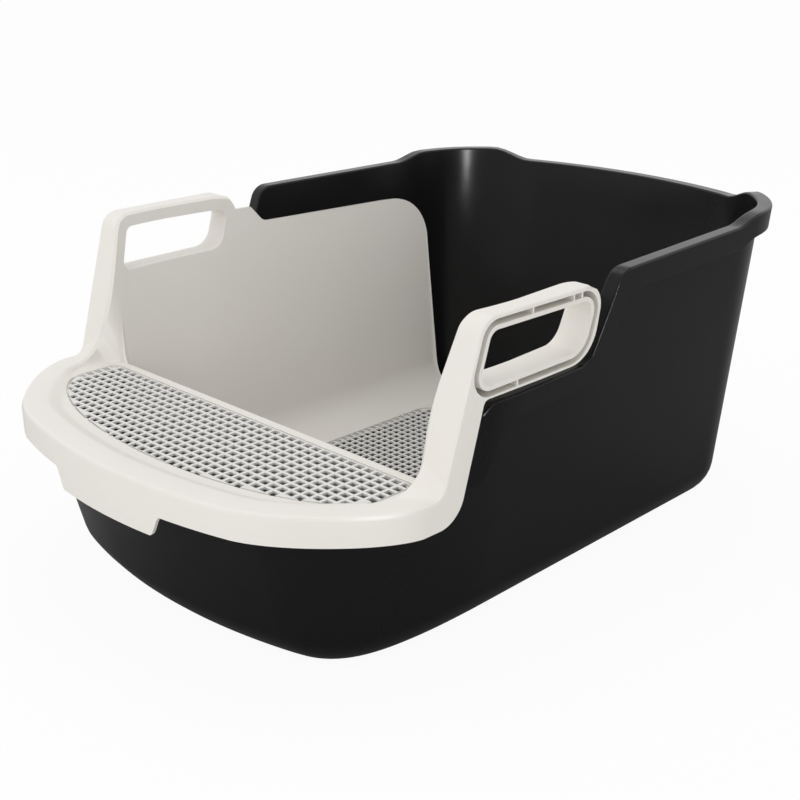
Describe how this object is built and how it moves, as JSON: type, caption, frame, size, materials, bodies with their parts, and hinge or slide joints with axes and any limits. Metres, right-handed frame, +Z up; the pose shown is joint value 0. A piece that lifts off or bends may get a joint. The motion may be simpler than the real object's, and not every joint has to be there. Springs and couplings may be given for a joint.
{
  "type": "high-sided cat litter box with lift-out entry tray",
  "caption": "High-sided cat litter pan with raised rear corners and a lift-out entry tray: step, side walls, drop-in grates and loop handles over the rim.",
  "frame": {"origin": "on the floor under the middle of the pan's flat bottom", "axes": "+X across the box to the right seen from the entry, +Y along the box from the entry to the rear wall, +Z up"},
  "size_m": [0.3984, 0.5843, 0.2455],
  "materials": {
    "pan_black": "semi-gloss moulded plastic",
    "tray_ivory": "satin moulded plastic",
    "grate_grey": "satin moulded plastic"
  },
  "bodies": {
    "pan": {"litter_pan": "pan_black"},
    "tray": {"entry_tray": "tray_ivory", "step_grate": "grate_grey", "floor_grate": "grate_grey"}
  },
  "joints": [
    {"name": "tray_lift", "type": "slide", "parent": "pan", "child": "tray", "axis": [0, 0, 1], "range_m": [0, 0.24]}
  ]
}
